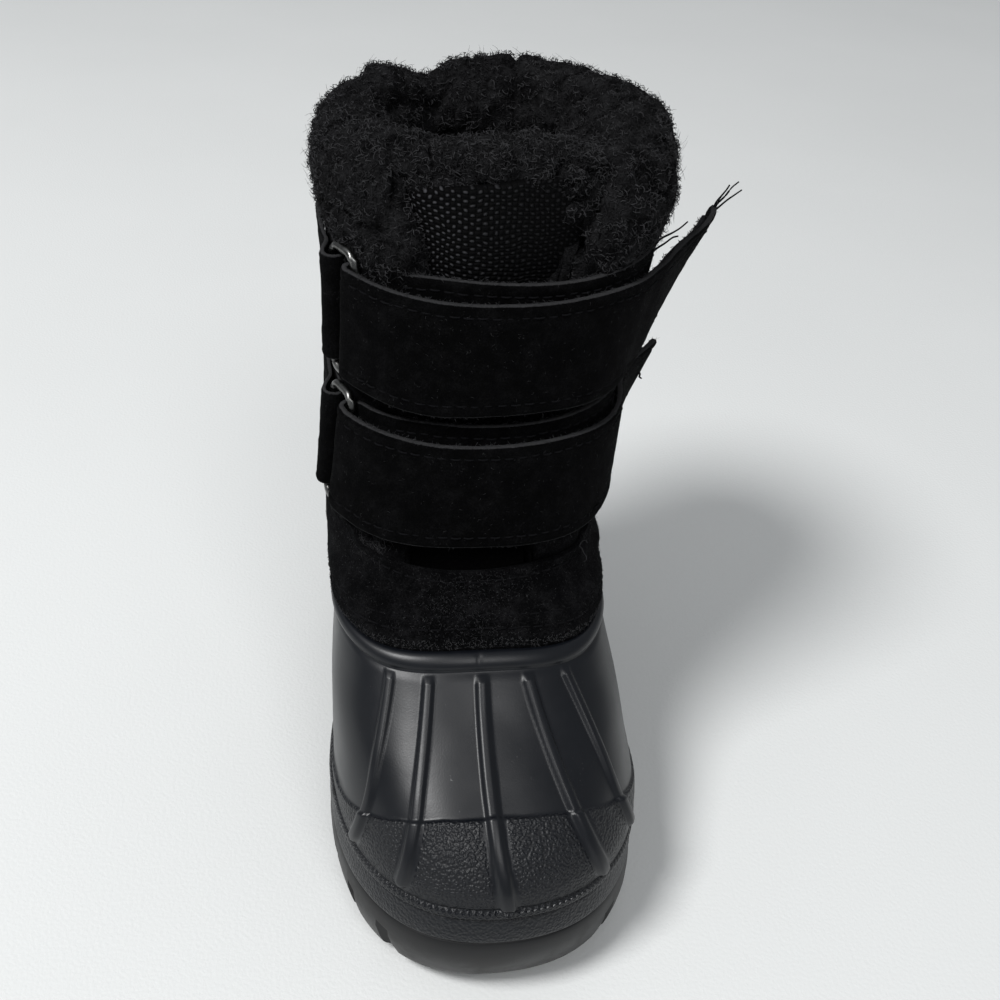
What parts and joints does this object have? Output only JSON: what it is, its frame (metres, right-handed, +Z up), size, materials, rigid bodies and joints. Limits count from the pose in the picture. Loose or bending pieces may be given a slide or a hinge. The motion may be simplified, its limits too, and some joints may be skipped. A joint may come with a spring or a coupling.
{
  "type": "snow boot",
  "caption": "Child's left snow boot: moulded rubber foot with ribbed toe, fleece-lined suede shaft, woven tongue and folded straps through metal rings.",
  "frame": {"origin": "middle of the boot's bounding box in plan, on the ground plane under the sole", "axes": "+Z up, toe towards -Y, heel towards +Y, the wearer's outer (lateral) side towards +X"},
  "size_m": [0.1154, 0.1816, 0.1945],
  "materials": {
    "sole_rubber": "smooth moulded, satin, dusty",
    "shell_rubber": "satin with pebble-grained toe cap",
    "suede": "napped suede with light lint",
    "strap_suede": "napped suede, raw grey edges",
    "fleece": "curly deep pile",
    "tongue_weave": "coarse basket weave",
    "ring_steel": "polished nickel-plated wire"
  },
  "bodies": {
    "root": {"outsole": "sole_rubber", "shell": "shell_rubber", "upper": "suede", "insole": "fleece", "tongue": "tongue_weave", "strap_upper": "strap_suede", "strap_lower": "strap_suede", "ring_tab_upper": "strap_suede", "ring_tab_lower": "strap_suede", "ring_upper": "ring_steel", "ring_lower": "ring_steel"}
  },
  "joints": []
}
